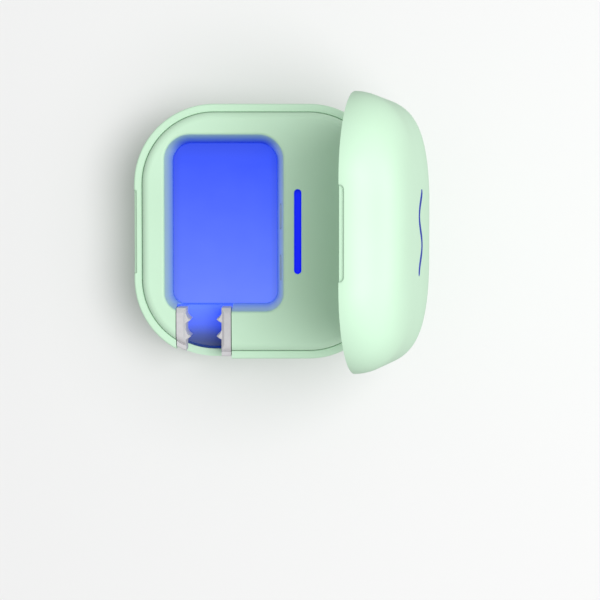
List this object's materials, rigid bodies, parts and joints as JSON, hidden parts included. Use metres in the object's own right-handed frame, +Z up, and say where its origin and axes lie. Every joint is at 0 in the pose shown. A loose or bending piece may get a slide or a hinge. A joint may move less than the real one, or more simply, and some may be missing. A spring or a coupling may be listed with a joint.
{
  "type": "toothbrush sanitizer",
  "caption": "Small wall-mounted toothbrush sanitizer: a rounded square pod with a lit chamber, a padded slot for the brush's neck and a domed lid hinged on the right.",
  "frame": {"origin": "centre of the wall face, on the wall", "axes": "+Z up, +X to the right as seen from the front, +Y into the wall, so the pod faces -Y"},
  "size_m": [0.0797, 0.0904, 0.07],
  "materials": {
    "mint": "satin moulded ABS, pale mint green",
    "window": "frosted blue-lit window",
    "lens": "small clear quartz lens",
    "grip": "light grey silicone",
    "bar": "blue-lit light pipe",
    "wave": "blue light window",
    "guide": "clear acrylic light guide",
    "board": "green solder mask",
    "led": "white lamp package",
    "chip": "black epoxy",
    "nylon": "white nylon",
    "steel": "nickel-plated steel",
    "magnet": "nickel-plated magnet",
    "foil": "laminated foil pouch",
    "pad": "white suction foam",
    "red_wire": "red insulation",
    "black_wire": "black insulation"
  },
  "bodies": {
    "base": {"back_housing": "mint", "inner_tray": "mint", "tray_seal": "grip", "uv_window": "window", "uv_lamp_board": "board", "uv_led_left_1": "led", "uv_led_left_2": "led", "uv_led_right_1": "led", "uv_led_right_2": "led", "side_lens_upper": "lens", "side_lens_lower": "lens", "side_led_upper": "led", "side_led_lower": "led", "side_lamp_board": "board", "left_grip_pad": "grip", "right_grip_pad": "grip", "status_bar": "bar", "main_board": "board", "board_screw_1": "steel", "board_screw_2": "steel", "controller_chip": "chip", "charger_chip": "chip", "lid_sensor": "chip", "status_led_upper": "led", "status_led_lower": "led", "battery_connector": "nylon", "usb_socket": "steel", "usb_tongue": "chip", "battery": "foil", "battery_lead_red": "red_wire", "battery_lead_black": "black_wire", "tray_screw_top_left": "steel", "tray_screw_top_right": "steel", "tray_screw_bottom_left": "steel", "tray_screw_bottom_right": "steel", "base_magnet_upper": "magnet", "base_magnet_lower": "magnet", "wall_pad": "pad", "hinge_pin": "steel"},
    "lid": {"lid_shell": "mint", "lid_liner": "mint", "lid_wave_light": "wave", "lid_light_guide": "guide", "lid_magnet_upper": "magnet", "lid_magnet_lower": "magnet"}
  },
  "joints": [
    {"name": "lid_hinge", "type": "hinge", "parent": "base", "child": "lid", "pos_m": [0.035, -0.022, 0], "axis": [0, 0, 1], "range_deg": [-76.5, 23.5]}
  ]
}
